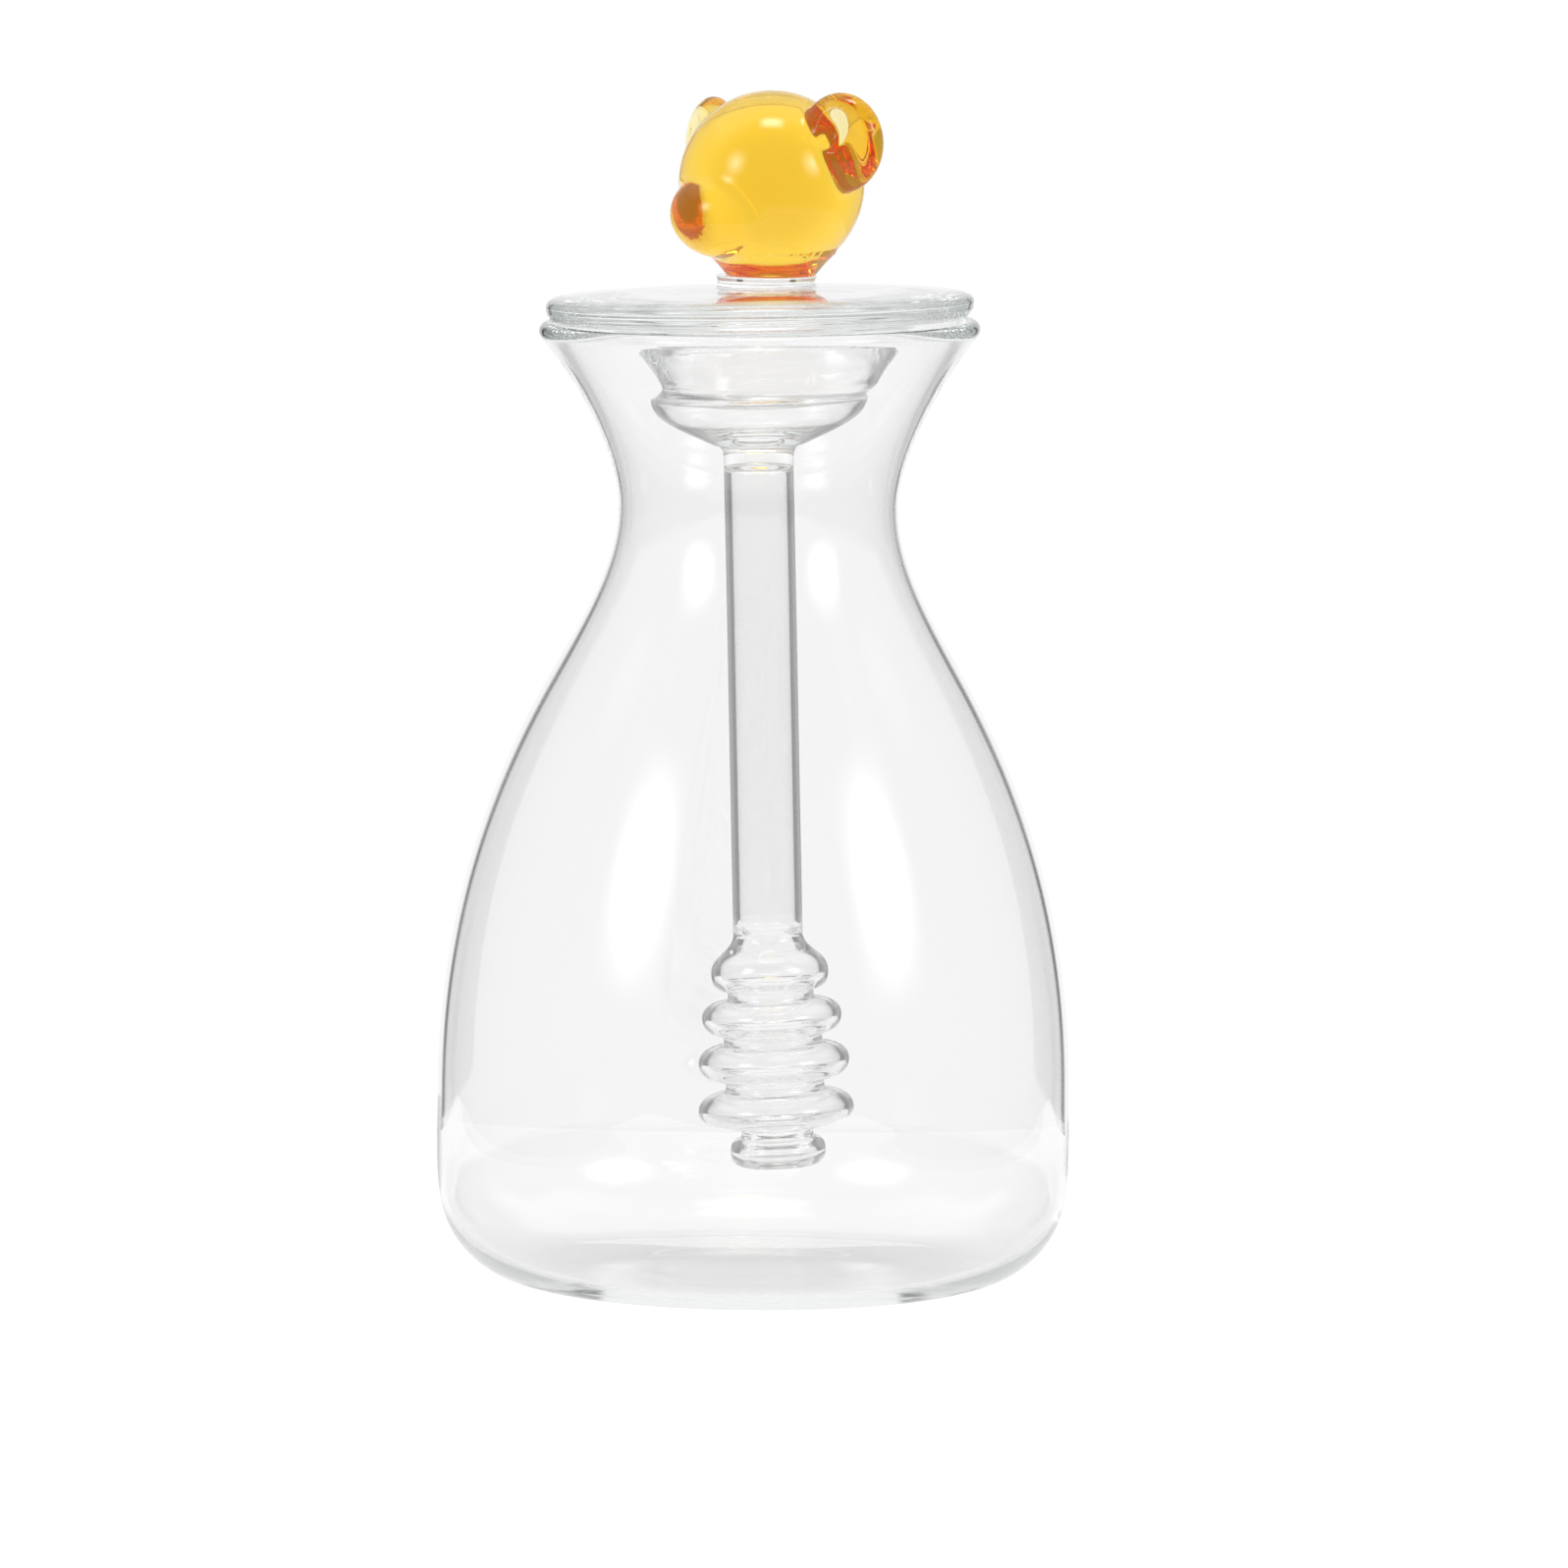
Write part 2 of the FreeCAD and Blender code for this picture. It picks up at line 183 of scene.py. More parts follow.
# Floor, and softboxes as azimuth, elevation, half width and half height in degrees, edge and strength.
# Azimuth 0 is behind the camera, and turns toward +X
FLOOR_DROP = 0.2
FLOOR_SIDES = ((-200.0, 200.0), (-280.0, 160.0))
SOFTBOXES = (
    (-50.0, 25.0, 6.0, 8.0, 0.2, 9.0),
    (56.0, 24.0, 6.0, 8.0, 0.2, 9.0),
    (0.0, 85.0, 9.0, 6.0, 0.1, 9.0),
)
DARK_GAPS = (
    (158.0, 0.0, 3.2, 11.0, 0.03, 0.85),
    (202.0, 0.0, 3.2, 11.0, 0.03, 0.85),
)

# Camera
CAMERA_AT = (4.0, -2050.0, 288.49)
CAMERA_AIM = (4.0, 0.0, 71.09)
CAMERA_ROLL_DEG = 0.5
CAMERA_LENS = 332.6
CAMERA_SENSOR = 36.0
CAMERA_CLIP = (0.1, 50.0)
LIGHT_BOUNCES = 96

# Mesh fineness: facets round a turned piece, and the grid for the head
SEGMENTS = 224
HEAD_GRID = 0.45
HEAD_GRID_REACH = 21.0


# Curve helpers: points are radius, height pairs
def heading(slope_deg):
    slope = math.radians(slope_deg)
    return np.array([math.sin(slope), math.cos(slope)])


def bezier(a, b, c, d, steps):
    t = np.linspace(0.0, 1.0, steps + 1)[:, None]
    a, b, c, d = (np.asarray(p, float) for p in (a, b, c, d))
    return a * (1 - t) ** 3 + b * 3 * t * (1 - t) ** 2 + c * 3 * t ** 2 * (1 - t) + d * t ** 3


def span(start, start_slope, end, end_slope, pull, steps):
    # A curve between two places with a given slope at each
    start, end = np.asarray(start, float), np.asarray(end, float)
    chord = np.linalg.norm(end - start)
    start_pull = start + heading(start_slope) * chord * pull[0]
    end_pull = end - heading(end_slope) * chord * pull[1]
    return bezier(start, start_pull, end_pull, end, steps)


def arc(centre, radius, start_deg, end_deg, steps):
    angles = np.radians(np.linspace(start_deg, end_deg, steps + 1))
    return np.array(centre) + radius * np.column_stack((np.cos(angles), np.sin(angles)))


def line(start, end, steps):
    t = np.linspace(0.0, 1.0, steps + 1)[:, None]
    return np.asarray(start, float) * (1 - t) + np.asarray(end, float) * t


def joined(*runs):
    # One list of points from runs that share their end points
    parts = [runs[0]]
    for run in runs[1:]:
        parts.append(run[1:])
    return np.vstack(parts)


def eased(x):
    x = np.clip(x, 0.0, 1.0)
    return x * x * (3.0 - 2.0 * x)


def along(stations, z):
    # A smooth value at each height, from a list of height, value pairs that fall
    heights = [station[0] for station in stations]
    values = [station[1] for station in stations]
    out = np.full(len(z), float(values[-1]))
    for k in range(len(stations) - 1):
        high, low = heights[k], heights[k + 1]
        t = eased((high - z) / (high - low))
        inside = (z <= high) & (z >= low)
        out[inside] = (values[k] * (1 - t) + values[k + 1] * t)[inside]
    out[z > heights[0]] = values[0]
    return out


# Mesh helpers
def mesh_object(name, points_mm, faces, material):
    mesh = bpy.data.meshes.new(name)
    mesh.from_pydata([tuple(p) for p in np.asarray(points_mm) * MM], [], faces)
    mesh.polygons.foreach_set("use_smooth", [True] * len(mesh.polygons))
    mesh.update()
    piece = bpy.data.objects.new(name, mesh)
    bpy.context.scene.collection.objects.link(piece)
    piece.data.materials.append(material)
    return piece


def lathe(profile, offset, tilt_deg, pitch_deg, flip):
    """Points and faces of a profile turned about a line that may drift, tilt sideways and pitch back.
    Offset, tilt and pitch are given for each profile point. The profile starts and ends on the axis."""
    angles = np.linspace(0.0, 2 * math.pi, SEGMENTS, endpoint=False)
    tilts, pitches = np.radians(tilt_deg), np.radians(pitch_deg)
    points = []
    rows = []
    for (radius, height), shift, tilt, pitch in zip(profile, offset, tilts, pitches):
        if radius < 1e-6:
            rows.append([len(points)])
            points.append((shift, 0.0, height))
            continue
        rows.append(list(range(len(points), len(points) + SEGMENTS)))
        for angle in angles:
            along_x = radius * math.cos(angle)
            along_y = radius * math.sin(angle)
            points.append((shift + along_x * math.cos(tilt), along_y * math.cos(pitch),
                           height + along_x * math.sin(tilt) - along_y * math.sin(pitch)))
    faces = []
    for upper, lower in zip(rows, rows[1:]):
        for k in range(SEGMENTS):
            after = (k + 1) % SEGMENTS
            if len(upper) == 1:
                face = (upper[0], lower[k], lower[after])
            elif len(lower) == 1:
                face = (upper[k], lower[0], upper[after])
            else:
                face = (upper[k], lower[k], lower[after], upper[after])
            faces.append(face[::-1] if flip else face)
    return points, faces


def combined(shells):
    points, faces = [], []
    for shell_points, shell_faces in shells:
        start = len(points)
        points.extend(shell_points)
        faces.extend(tuple(i + start for i in face) for face in shell_faces)
    return points, faces


# Jar: from the middle of the underside up the outer wall, over the rim bead and down the inner wall
def jar_profile():
    places = [np.array([radius, height]) for radius, height, _, _ in JAR_STATIONS]
    slopes = [slope for _, _, slope, _ in JAR_STATIONS]
    walls = [wall for _, _, _, wall in JAR_STATIONS]
    inner = []
    for place, slope, wall in zip(places, slopes, walls):
        outward = heading(slope)[::-1] * np.array([1.0, -1.0])
        inner.append(place - outward * wall)
    outer_runs = []
    inner_runs = []
    for k, pull in enumerate(JAR_PULLS):
        outer_runs.append(span(places[k], slopes[k], places[k + 1], slopes[k + 1], pull, JAR_STEPS[k]))
        inner_runs.append(span(inner[k], slopes[k], inner[k + 1], slopes[k + 1], pull, JAR_STEPS[k])[::-1])
    bead = arc((places[-1] + inner[-1]) / 2, BEAD_R, -slopes[-1], 180.0 - slopes[-1], 16)
    ring_r = places[0][0] - FOOT_RING_WIDTH
    half = ring_r / 2
    floor_top = (0.0, PUSH_UP + BASE_WALL)
    under = bezier((0.0, PUSH_UP), (half, PUSH_UP), (ring_r - half, 0.0), (ring_r, 0.0), 16)
    foot = line((ring_r, 0.0), places[0], 3)
    inside = bezier(inner[0], inner[0] - (half, 0), (half, floor_top[1]), floor_top, 20)
    return joined(under, foot, *outer_runs, bead, *inner_runs[::-1], inside)


def jar(material):
    profile = jar_profile()
    limit = cad_box[1].y / MM - JAR_BOX_INSET
    profile[:, 0] *= min(1.0, limit / profile[:, 0].max())
    z = profile[:, 1]
    tilt = RIM_TILT_DEG * eased((z - RIM_TILT_FROM) / (RIM_TOP - RIM_TILT_FROM))
    # The rim comes down by its tilt, so that its high side keeps the height that the frame gives
    profile[:, 1] -= np.where(z > RIM_TILT_FROM, np.sin(np.radians(tilt)) * profile[:, 0], 0.0)
    level = np.zeros(len(profile))
    points, faces = lathe(profile, level, tilt, level, flip=True)
    piece = mesh_object("jar_glass", points, faces, material)
    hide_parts("jar_body")
    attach(piece, "jar")
    return piece


# Lid unit: how far its middle drifts along X, and how it tilts and pitches, at each height
def lid_drift(z):
    lean = math.tan(math.radians(STEM_LEAN_DEG))
    dipper_lean = math.tan(math.radians(STEM_LEAN_DEG + DIPPER_LEAN_DEG))
    stations = ((COLLAR_TOP, COLLAR_OFFSET), (PLATE_TOP, COLLAR_OFFSET), (PLATE_TOP - 0.1, 0.0),
                (PLATE_BOTTOM, 0.0), (PLATE_BOTTOM - 2.5, BOSS_OFFSET), (BOWL_TOP + 2.0, BOSS_OFFSET),
                (BOWL_TOP, 0.0))
    offset = along(stations, z)
    bend = ROOT - STEM_BEND_DROP
    below = z < bend
    offset[below] = ((bend - z) * lean)[below]
    low = z < WELD
    offset[low] = ((bend - WELD) * lean + (WELD - z) * dipper_lean)[low]
    return offset


def lid_tilt(z):
    stations = ((COLLAR_TOP, 0.0), (PLATE_TOP, PLATE_TILT_DEG), (PLATE_BOTTOM - 3.0, PLATE_TILT_DEG),
                (BOWL_TOP, STEM_LEAN_DEG), (WELD + 4.0, STEM_LEAN_DEG),
                (WELD - 4.0, STEM_LEAN_DEG + DIPPER_LEAN_DEG))
    return along(stations, z)


def lid_pitch(z):
    stations = ((COLLAR_TOP, 0.0), (PLATE_TOP, PLATE_PITCH_DEG), (PLATE_BOTTOM - 2.0, PLATE_PITCH_DEG),
                (BOWL_TOP + 3.0, 0.0))
    return along(stations, z)


# Lid unit in clear glass: its outer skin from the collar's top down to the dipper's end
def collar_skin():
    waist = COLLAR_R - COLLAR_WAIST
    middle = (waist, (COLLAR_TOP + PLATE_TOP) / 2)
    edge = (COLLAR_R - COLLAR_EDGE, COLLAR_TOP)
    return joined(
        line((0.0, COLLAR_TOP), edge, 4),
        bezier(edge, (COLLAR_R, COLLAR_TOP), (waist, COLLAR_TOP - COLLAR_FILLET), middle, 8),
        bezier(middle, (waist, PLATE_TOP + COLLAR_FILLET * 0.5), (waist + COLLAR_FILLET * 0.4, PLATE_TOP),
               (COLLAR_R + COLLAR_FILLET, PLATE_TOP), 8),
    )


def plate_skin():
    centre_r = PLATE_R - PLATE_EDGE_R
    crest = (centre_r, PLATE_TOP - PLATE_DOME)
    brow = (PLATE_R, PLATE_TOP - PLATE_EDGE_R)
    flat_r, fall_r = DOME_PULL_RADII
    return joined(
        bezier((COLLAR_R + COLLAR_FILLET, PLATE_TOP), (flat_r, PLATE_TOP),
               (fall_r, PLATE_TOP - PLATE_DOME * 0.6), crest, 40),
        bezier(crest, (PLATE_R - PLATE_EDGE_PULL, PLATE_TOP - PLATE_DOME * 1.2),
               (PLATE_R, brow[1] + PLATE_EDGE_PULL), brow, 24),
        line(brow, (PLATE_R, PLATE_BOTTOM + PLATE_EDGE_R), 1),
        arc((centre_r, PLATE_BOTTOM + PLATE_EDGE_R), PLATE_EDGE_R, 0.0, -90.0, 24),
        line((centre_r, PLATE_BOTTOM), (BOSS_SPREAD_R, PLATE_BOTTOM), 12),
    )


def boss_and_bowl_skin():
    boss_foot = (BOSS_R, BOWL_TOP + BOSS_LIP)
    spread_pull = BOSS_SPREAD_R - (BOSS_SPREAD_R - BOSS_R) * 0.55
    return joined(
        bezier((BOSS_SPREAD_R, PLATE_BOTTOM), (spread_pull, PLATE_BOTTOM),
               (BOSS_R, BOWL_TOP + BOSS_DROP * 0.28), boss_foot, 26),
        bezier(boss_foot, (BOSS_R, BOWL_TOP + 0.3), (BOWL_R, BOWL_TOP + 0.4), (BOWL_R, BOWL_TOP), 6),
        bezier((BOWL_R, BOWL_TOP), (BOWL_R - 0.2, BOWL_TOP - BOWL_DEPTH * 0.43),
               (BOWL_R * 0.75, ROOT + BOWL_DEPTH * 0.37), (STEM_R + STEM_FLARE, ROOT), 26),
    )


def stem_skin():
    flare_end = (STEM_R, ROOT - STEM_FLARE_LENGTH)
    return joined(
        bezier((STEM_R + STEM_FLARE, ROOT), (STEM_R + STEM_FLARE * 0.2, ROOT),
               (STEM_R, ROOT - STEM_FLARE_LENGTH * 0.4), flare_end, 10),
        line(flare_end, (STEM_R, WELD), 24),
    )


def dipper_places(start_r, inset):
    # The start at the weld, then each ring's tip and the neck under it
    places = [np.array([start_r, WELD])]
    for k, drop in enumerate(RING_DROPS):
        places.append(np.array([RING_RADII[k] - inset, WELD - drop]))
        if k < len(NECK_DROPS):
            places.append(np.array([NECK_RADII[k] - inset, WELD - NECK_DROPS[k]]))
    return places


def flank(ring, neck):
    # From a ring's round tip in along its shelf, and by a small fillet to the neck above or below it
    rise = ring[1] - neck[1]
    shelf = (ring[0] - neck[0]) * 0.42
    corner = neck + (RING_FILLET, rise * 0.24)
    return joined(
        bezier(ring, ring - (0, rise * 0.52), corner + (shelf, math.copysign(0.12, rise)), corner, 12),
        bezier(corner, corner - (RING_FILLET * 0.7, 0), neck + (0, rise * 0.14), neck, 4),
    )


def dipper_skin():
    start, first, *others = dipper_places(STEM_R, 0.0)
    fall = start[1] - first[1]
    runs = [bezier(start, start + (0.6, -fall * 0.45), first + (0, fall * 0.5), first, 14)]
    upper = first
    for lower in others:
        runs.append(flank(upper, lower) if upper[0] > lower[0] else flank(lower, upper)[::-1])
        upper = lower
    end = np.array([DIPPER_END_R, upper[1] - DIPPER_END_DROP])
    pull = DIPPER_END_DROP * 0.6
    runs.append(bezier(upper, upper - (0, pull), end + (pull, 0), end, 10))
    runs.append(line(end, (0.0, end[1]), 4))
    return joined(*runs)


def lid_skin():
    profile = joined(collar_skin(), plate_skin(), boss_and_bowl_skin(), stem_skin(), dipper_skin())
    return rippled(profile)


def rippled(profile):
    # Fine rings that the shaping left round the plate's edge
    steps = np.linalg.norm(np.diff(profile, axis=0), axis=1)
    run = np.concatenate(([0.0], np.cumsum(steps)))
    ahead = np.gradient(profile, axis=0)
    ahead /= np.maximum(np.linalg.norm(ahead, axis=1), 1e-9)[:, None]
    out = np.column_stack((-ahead[:, 1], ahead[:, 0]))
    share = eased((profile[:, 0] - RIPPLE_FROM_R) / RIPPLE_FADE) * (profile[:, 1] > PLATE_BOTTOM - 0.5)
    wave = np.sin(2 * math.pi * run / RIPPLE_LENGTH) * (0.6 + 0.4 * np.sin(run * RIPPLE_SWELL))
    return profile - out * (share * RIPPLE_HEIGHT * (wave + 1.0))[:, None]


# The air sealed in the lid unit: in the boss, in the bowl, and in the stem and dipper
def boss_air():
    roof = PLATE_BOTTOM - BOSS_ROOF
    side = BOSS_R - BOSS_WALL
    wide = BOSS_SPREAD_R - BOSS_AIR_INSET
    foot = BOWL_TOP + 1.3
    floor = BOWL_TOP - BOSS_BULGE + BOSS_FLOOR
    return joined(
        line((0.0, roof), (wide - 0.7, roof), 12),
        bezier((wide - 0.7, roof), (wide - 0.1, roof), (wide + 0.2, roof - 0.1), (wide, roof - 0.3), 4),
        bezier((wide, roof - 0.3), (wide - 2.8, roof - 1.4), (side, foot + 2.2), (side, foot), 24),
        bezier((side, foot), (side - 0.1, foot - 0.6), (side * 0.6, floor), (0.0, floor), 24),
    )


def bowl_air():
    wall_r = BOWL_R - BOWL_WALL
    floor = ROOT + BOWL_FLOOR
    lip = BOWL_TOP - 0.3
    bulge = BOWL_TOP - BOSS_BULGE
    return joined(
        bezier((0.0, bulge), (wall_r * 0.5, bulge), (wall_r * 0.8, BOWL_TOP - BOSS_BULGE * 0.35),
               (wall_r - 0.4, BOWL_TOP), 24),
        bezier((wall_r - 0.4, BOWL_TOP), (wall_r - 0.2, BOWL_TOP + 0.1), (wall_r, BOWL_TOP),
               (wall_r, lip), 5),
        bezier((wall_r, lip), (wall_r - 0.5, lip - 2.3), (wall_r * 0.63, floor + 0.1), (0.0, floor), 26),
    )


def stem_air():
    # The bore runs on from the stem through the dipper, with a pinch at the weld between them
    bore = STEM_R - STEM_WALL
    pinch = bore - WELD_PINCH
    top = ROOT - STEM_PLUG
    return joined(
        bezier((0.0, top), (bore * 0.6, top), (bore, top - 0.5), (bore, top - 1.8), 10),
        line((bore, top - 1.8), (bore, WELD + 1.6), 24),
        bezier((bore, WELD + 1.6), (bore, WELD + 0.9), (pinch, WELD + 0.8), (pinch, WELD), 8),
        dipper_air(pinch),
    )


def dipper_air(start_r):
    # The dipper is blown: its bore swells inside each ring
    places = dipper_places(start_r, DIPPER_WALL)
    runs = []
    for upper, lower in zip(places, places[1:]):
        middle = (0, (upper[1] - lower[1]) * 0.5)
        runs.append(bezier(upper, upper - middle, lower + middle, lower, 12))
    last = places[-1]
    end = last[1] - 1.2
    runs.append(bezier(last, last - (0, 0.8), (last[0] * 0.6, end), (0.0, end), 12))
    return joined(*runs)


def lid(material):
    shells = []
    for profile, is_air in ((lid_skin(), False), (boss_air(), True), (bowl_air(), True), (stem_air(), True)):
        z = profile[:, 1]
        shells.append(lathe(profile, lid_drift(z), lid_tilt(z), lid_pitch(z), flip=is_air))
    points, faces = combined(shells)
    piece = mesh_object("lid_glass", points, faces, material)
    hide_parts("lid_plate", "plug_bowl", "knob_collar", "stem_tube", "dipper_head")
    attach(piece, "lid")
    return piece


# Head: one skin through the ball, cone, muzzle and ears, where a smooth distance field is zero
def blend_min(a, b, k):
    h = np.clip(0.5 + 0.5 * (b - a) / k, 0.0, 1.0)
    return b * (1 - h) + a * h - k * h * (1 - h)


def turned(p, yaw_deg):
    # Coordinates of points in a frame turned about Z
    yaw = math.radians(yaw_deg)
    c, s = math.cos(yaw), math.sin(yaw)
    return np.column_stack((p[:, 0] * c + p[:, 1] * s, -p[:, 0] * s + p[:, 1] * c, p[:, 2]))


def ellipsoid(p, radii):
    k0 = np.linalg.norm(p / radii, axis=1)
    k1 = np.linalg.norm(p / (np.array(radii) ** 2), axis=1)
    return k0 * (k0 - 1.0) / np.maximum(k1, 1e-9)


def neck_cone(p):
    rise = p[:, 2] + HEAD_CENTRE_RISE
    low, high = CONE_RISES
    side = (np.hypot(p[:, 0], p[:, 1]) - CONE_R - rise * CONE_SPREAD) * 0.7
    return np.maximum(side, np.abs(rise - (low + high) / 2) - (high - low) / 2)


def ear_field(local, side, place):
    # Side is 1 for the ear near the camera and -1 for the far one
    reach = place[0]
    lift, sweep = np.radians(place[1:])
    centre = reach * np.array([-math.sin(sweep) * math.cos(lift), side * math.cos(sweep) * math.cos(lift),
                               math.sin(lift)])
    p = turned(local - centre, side * EAR_SPLAY_DEG)
    lobe = ellipsoid(p, EAR_RADII)
    dimple = ellipsoid(p - np.array([EAR_RADII[0] + DIMPLE_OUT, 0.0, DIMPLE_RISE]), DIMPLE_RADII)
    return -blend_min(-lobe, dimple, DIMPLE_BLEND)


def head_field(p):
    ball = np.linalg.norm(p, axis=1) - HEAD_R
    shape = blend_min(ball, neck_cone(p), CONE_BLEND)
    local = turned(p, -90.0 - FACE_YAW_DEG)
    pitch = math.radians(MUZZLE_PITCH_DEG)
    muzzle = MUZZLE_REACH * np.array([math.cos(pitch), 0.0, -math.sin(pitch)])
    shape = blend_min(shape, ellipsoid(local - muzzle, MUZZLE_RADII), FACE_BLEND)
    shape = blend_min(shape, ear_field(local, 1, NEAR_EAR), FACE_BLEND)
    shape = blend_min(shape, ear_field(local, -1, FAR_EAR), FACE_BLEND)
    return np.maximum(shape, -(p[:, 2] + HEAD_CENTRE_RISE + HEAD_LAP))


def pulled(points):
    # The step from each point back to the field's zero
    small = 1e-3
    value = head_field(points)
    slope = np.empty_like(points)
    for k in range(3):
        shift = np.zeros(3)
        shift[k] = small
        slope[:, k] = (head_field(points + shift) - head_field(points - shift)) / (2 * small)
    size = np.maximum((slope ** 2).sum(axis=1), 0.05)
    return slope * (value / size)[:, None]


def head_skin(step):
    """Vertices and quads on the zero of the field, from a grid by surface nets, then pulled onto it."""
    axis = np.arange(-HEAD_GRID_REACH, HEAD_GRID_REACH + step, step)
    n = len(axis)
    grid = np.stack(np.meshgrid(axis, axis, axis, indexing="ij"), axis=-1).reshape(-1, 3)
    # The field is worked out in parts, to spare memory
    value = np.concatenate([head_field(part) for part in np.array_split(grid, 24)]).reshape(n, n, n)
    solid = value < 0
    corners = [(i, j, k) for i in (0, 1) for j in (0, 1) for k in (0, 1)]
    count = sum(solid[i:n - 1 + i, j:n - 1 + j, k:n - 1 + k].astype(int) for i, j, k in corners)
    cells = np.argwhere((count > 0) & (count < 8))
    number = np.full((n - 1,) * 3, -1)
    number[tuple(cells.T)] = np.arange(len(cells))
    points = axis[cells] + step / 2
    faces = []
    for direction in range(3):
        after = [0, 0, 0]
        after[direction] = 1
        low = solid[:n - after[0], :n - after[1], :n - after[2]]
        high = solid[after[0]:, after[1]:, after[2]:]
        u, v = [a for a in range(3) if a != direction]
        for edge in np.argwhere(low != high):
            ring = []
            for du, dv in ((0, 0), (-1, 0), (-1, -1), (0, -1)):
                cell = edge.copy()
                cell[u] += du
                cell[v] += dv
                ring.append(int(number[tuple(cell)]))
            outward = low[tuple(edge)] == (direction != 1)
            faces.append(tuple(ring) if outward else tuple(ring[::-1]))
    for _ in range(8):
        points = points - pulled(points) * 0.9
    return points, faces


def head(material):
    points, faces = head_skin(HEAD_GRID)
    centre = np.array([HEAD_OFFSET, 0.0, COLLAR_TOP + HEAD_CENTRE_RISE])
    piece = mesh_object("head_glass", points + centre, faces, material)
    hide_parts("bear_head", "muzzle", "left_ear", "right_ear")
    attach(piece, "lid")
    return piece


# Materials
def glass(name, colour, density, wave_size, wave_height):
    """Solid glass: a smooth skin with a slow waviness, and light lost with depth."""
    material = bpy.data.materials.new(name)
    material.use_nodes = True
    tree = material.node_tree
    tree.nodes.clear()
    skin = tree.nodes.new("ShaderNodeBsdfPrincipled")
    skin.inputs["Base Color"].default_value = (1.0, 1.0, 1.0, 1.0)
    skin.inputs["Roughness"].default_value = 0.0
    skin.inputs["IOR"].default_value = GLASS_IOR
    skin.inputs["Transmission Weight"].default_value = 1.0
    place = tree.nodes.new("ShaderNodeTexCoord")
    noise = tree.nodes.new("ShaderNodeTexNoise")
    noise.inputs["Scale"].default_value = 1.0 / wave_size
    noise.inputs["Detail"].default_value = 1.0
    bump = tree.nodes.new("ShaderNodeBump")
    bump.inputs["Strength"].default_value = 1.0
    bump.inputs["Distance"].default_value = wave_height
    tree.links.new(place.outputs["Object"], noise.inputs["Vector"])
    tree.links.new(noise.outputs["Fac"], bump.inputs["Height"])
    tree.links.new(bump.outputs["Normal"], skin.inputs["Normal"])
    depth = tree.nodes.new("ShaderNodeVolumeAbsorption")
    depth.inputs["Color"].default_value = (*colour, 1.0)
    depth.inputs["Density"].default_value = density
    out = tree.nodes.new("ShaderNodeOutputMaterial")
    tree.links.new(skin.outputs["BSDF"], out.inputs["Surface"])
    tree.links.new(depth.outputs["Volume"], out.inputs["Volume"])
    return material


def floor_paper():
    material = bpy.data.materials.new("pale_paper")
    material.use_nodes = True
    tree = material.node_tree
    skin = tree.nodes["Principled BSDF"]
    skin.inputs["Base Color"].default_value = (0.15, 0.15, 0.15, 1.0)
    skin.inputs["Roughness"].default_value = 0.9
    skin.inputs["Specular IOR Level"].default_value = 0.0
    skin.inputs["Emission Color"].default_value = (1.0, 1.0, 1.0, 1.0)
    # The paper is lit to white for the camera and a little less for what is seen through the glass
    path = tree.nodes.new("ShaderNodeLightPath")
    lit = tree.nodes.new("ShaderNodeMapRange")
    lit.inputs["To Min"].default_value = 0.84
    lit.inputs["To Max"].default_value = 1.0
    tree.links.new(path.outputs["Is Camera Ray"], lit.inputs["Value"])
    tree.links.new(lit.outputs["Result"], skin.inputs["Emission Strength"])
    return material


def floor():
    (left, right), (front, back) = FLOOR_SIDES
    z = -FLOOR_DROP
    corners = [(left, front, z), (right, front, z), (right, back, z), (left, back, z)]
    piece = mesh_object("floor", corners, [(0, 1, 2, 3)], floor_paper())


# Light: a white studio behind, and a dimmer room in front with softboxes, seen by what the glass mirrors
class SkyMaths:
    """Short names for the nodes that work out the light from each direction."""

    def __init__(self, tree):
        self.tree = tree
        self.place = tree.nodes.new("ShaderNodeTexCoord")

    def number(self, operation, a, b=None):
        node = self.tree.nodes.new("ShaderNodeMath")
        node.operation = operation
        for socket, value in zip(node.inputs, (a, b)):
            if isinstance(value, (int, float)):
                socket.default_value = value
            elif value is not None:
                self.tree.links.new(value, socket)
        return node.outputs[0]

    def opposite(self, value):
        return self.number("SUBTRACT", 1.0, value)

    def toward(self, vector):
        node = self.tree.nodes.new("ShaderNodeVectorMath")
        node.operation = "DOT_PRODUCT"
        self.tree.links.new(self.place.outputs["Generated"], node.inputs[0])
        node.inputs[1].default_value = vector
        return node.outputs["Value"]

    def ramp(self, value, low, high):
        node = self.tree.nodes.new("ShaderNodeMapRange")
        node.interpolation_type = "SMOOTHSTEP"
        self.tree.links.new(value, node.inputs["Value"])
        node.inputs["From Min"].default_value = low
        node.inputs["From Max"].default_value = high
        return node.outputs["Result"]

    def softbox(self, azimuth_deg, elevation_deg, half_width_deg, half_height_deg, edge, strength):
        azimuth, elevation = math.radians(azimuth_deg), math.radians(elevation_deg)
        ahead = (math.sin(azimuth) * math.cos(elevation), -math.cos(azimuth) * math.cos(elevation),
                 math.sin(elevation))
        right = (math.cos(azimuth), math.sin(azimuth), 0.0)
        up = (-math.sin(azimuth) * math.sin(elevation), math.cos(azimuth) * math.sin(elevation),
              math.cos(elevation))
        depth = self.number("MAXIMUM", self.toward(ahead), 0.001)
        lit = strength
        for axis, half_deg in ((right, half_width_deg), (up, half_height_deg)):
            slide = self.number("ABSOLUTE", self.number("DIVIDE", self.toward(axis), depth))
            half = math.tan(math.radians(half_deg))
            lit = self.number("MULTIPLY", self.opposite(self.ramp(slide, half - edge, half + edge)), lit)
        return lit


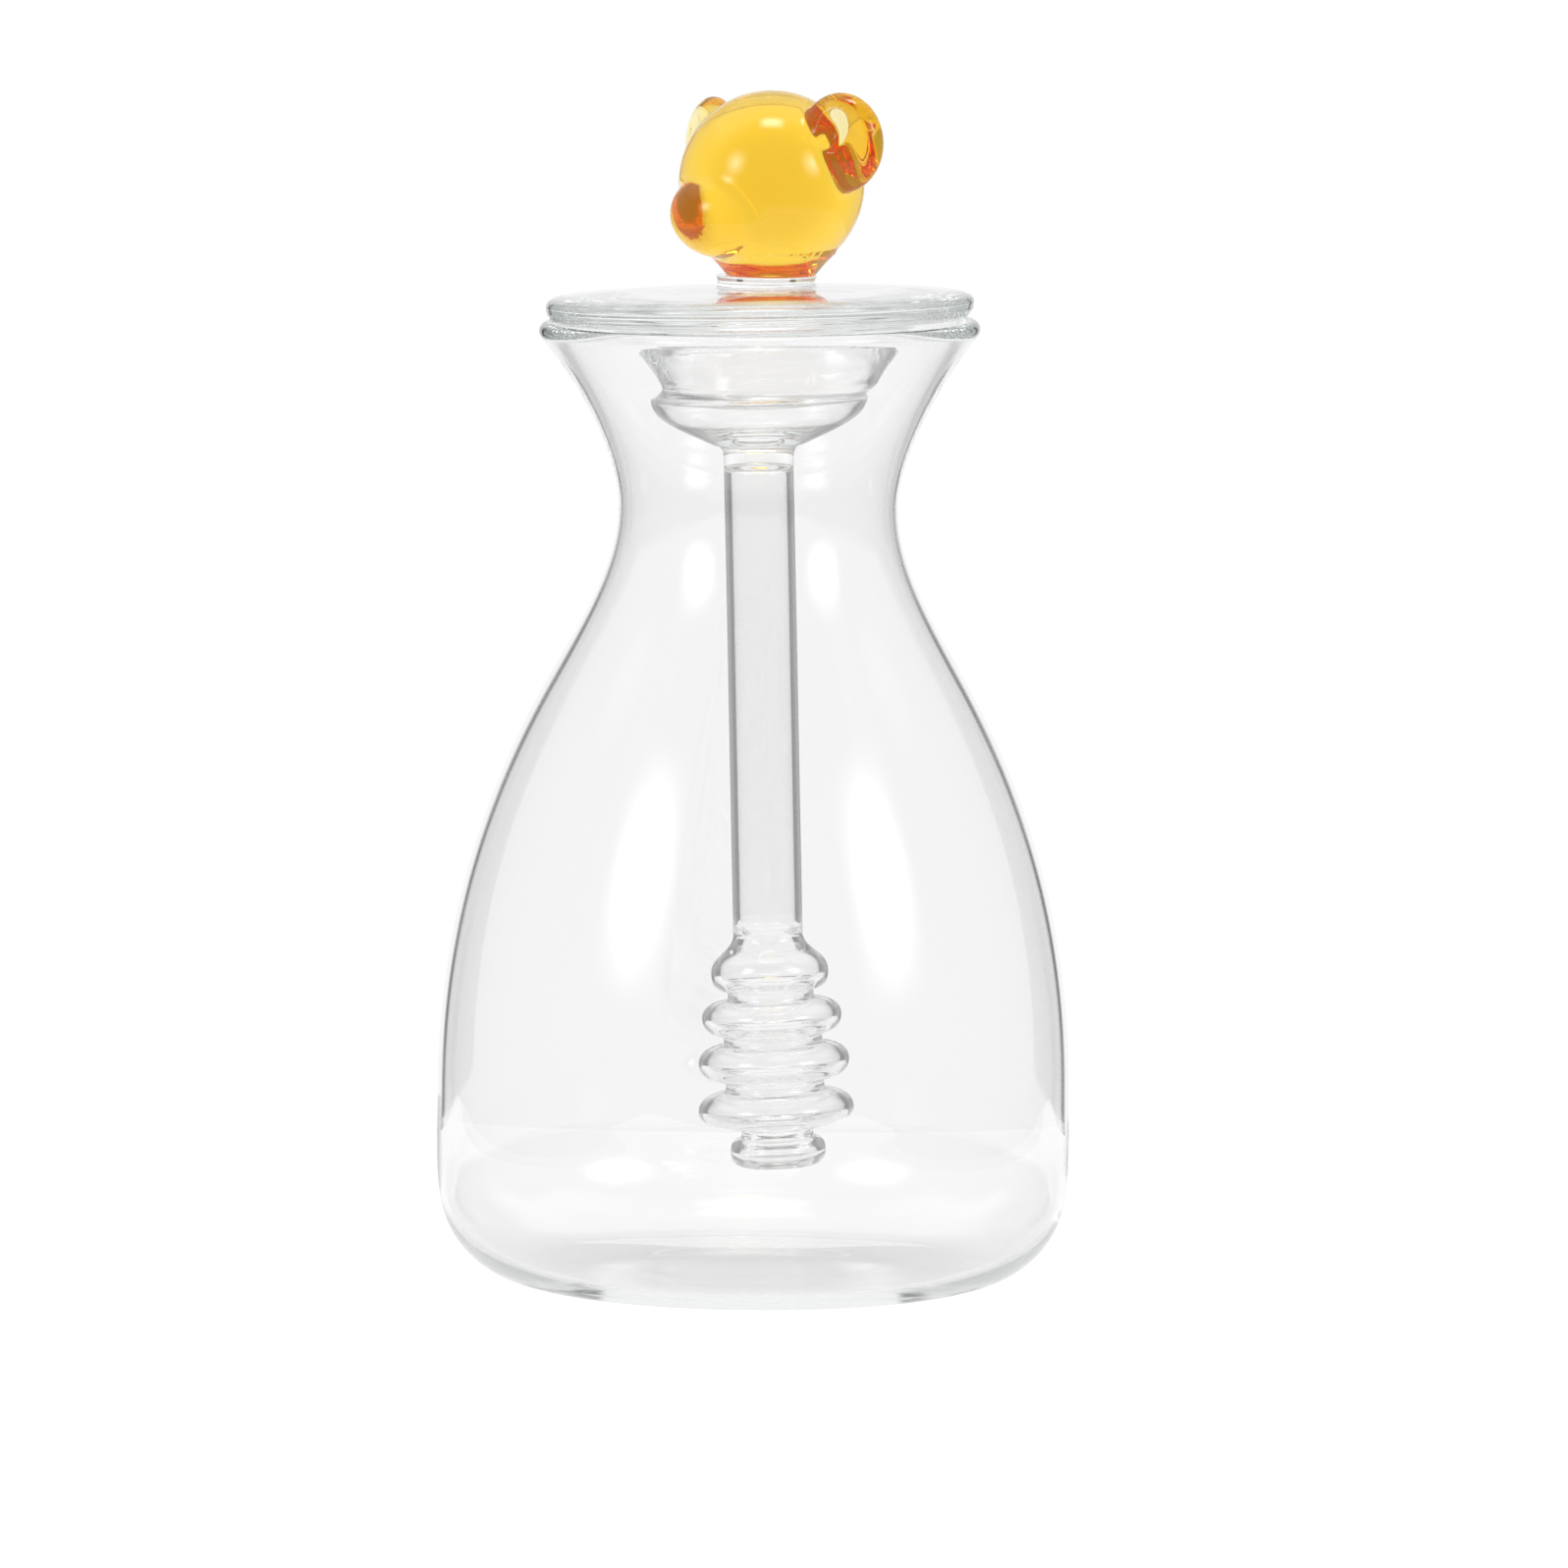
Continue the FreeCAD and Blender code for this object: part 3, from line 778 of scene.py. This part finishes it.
def mirrored_room(sky, behind, upright, skins):
    """What the glass mirrors: a room that is bright behind, above and below and dimmer in front, with a
    dark gap on each side of the backdrop, and the softboxes."""
    near = sky.number("ADD", sky.number("MULTIPLY", sky.ramp(behind, 0.82, 0.97), 0.35), 0.58)
    front = sky.number("ADD", sky.number("MULTIPLY", sky.ramp(behind, -0.3, 0.8), 0.25), 0.75)
    room = sky.number("MULTIPLY", near, front)
    # What lies inside the jar is seen through more skins, and mirrors a darker room
    deep = sky.number("MULTIPLY", sky.ramp(skins, 3.4, 4.6), 0.55)
    room = sky.number("MULTIPLY", room, sky.opposite(deep))
    above = sky.number("MULTIPLY", sky.ramp(upright, 0.3, 0.7), sky.ramp(behind, -0.35, 0.1))
    below = sky.ramp(sky.number("MULTIPLY", upright, -1.0), 0.25, 0.5)
    lit_ends = sky.number("MULTIPLY", sky.number("MAXIMUM", above, below), 0.92)
    room = sky.number("MAXIMUM", room, lit_ends)
    gaps = sky.number("ADD", *(sky.softbox(*gap) for gap in DARK_GAPS))
    gaps = sky.number("MULTIPLY", gaps, sky.opposite(sky.ramp(skins, 4.4, 5.6)))
    mirrored = sky.number("MULTIPLY", room, sky.opposite(gaps))
    for softbox in SOFTBOXES:
        mirrored = sky.number("ADD", mirrored, sky.softbox(*softbox))
    return mirrored


def studio():
    world = bpy.data.worlds.new("studio")
    bpy.context.scene.world = world
    world.use_nodes = True
    tree = world.node_tree
    tree.nodes.clear()
    sky = SkyMaths(tree)
    path = tree.nodes.new("ShaderNodeLightPath")
    behind = sky.toward((0.0, 1.0, 0.0))
    upright = sky.toward((0.0, 0.0, 1.0))
    mirrored = mirrored_room(sky, behind, upright, path.outputs["Transmission Depth"])

    # What is seen through the glass, a little brighter to the sides, and the white behind the object
    side = sky.opposite(sky.ramp(behind, 0.8, 0.998))
    through = sky.number("ADD", sky.number("MULTIPLY", side, 0.12), 0.95)
    white = sky.number("MAXIMUM", through, path.outputs["Is Camera Ray"])
    was_mirrored = sky.number("GREATER_THAN", path.outputs["Glossy Depth"], 0.5)
    level = sky.number("ADD", sky.number("MULTIPLY", mirrored, was_mirrored),
                       sky.number("MULTIPLY", white, sky.opposite(was_mirrored)))
    light = tree.nodes.new("ShaderNodeBackground")
    out = tree.nodes.new("ShaderNodeOutputWorld")
    tree.links.new(level, light.inputs["Color"])
    tree.links.new(light.outputs["Background"], out.inputs["Surface"])


def camera():
    data = bpy.data.cameras.new("camera")
    data.lens = CAMERA_LENS
    data.sensor_width = CAMERA_SENSOR
    data.clip_start, data.clip_end = CAMERA_CLIP
    eye = bpy.data.objects.new("camera", data)
    bpy.context.scene.collection.objects.link(eye)
    at = np.array(CAMERA_AT) * MM
    aim = np.array(CAMERA_AIM) * MM
    look = Vector(aim - at).to_track_quat("-Z", "Y").to_matrix().to_4x4()
    roll = Matrix.Rotation(math.radians(CAMERA_ROLL_DEG), 4, "Z")
    eye.matrix_world = Matrix.Translation(Vector(at)) @ look @ roll
    bpy.context.scene.camera = eye


def colour_and_bounces():
    scene = bpy.context.scene
    scene.view_settings.view_transform = "Standard"
    scene.cycles.max_bounces = LIGHT_BOUNCES
    scene.cycles.transmission_bounces = LIGHT_BOUNCES
    scene.cycles.glossy_bounces = LIGHT_BOUNCES


clear = glass("clear_glass", **CLEAR)
amber = glass("amber_glass", **AMBER)
jar(clear)
lid(clear)
head(amber)
floor()
studio()
camera()
colour_and_bounces()
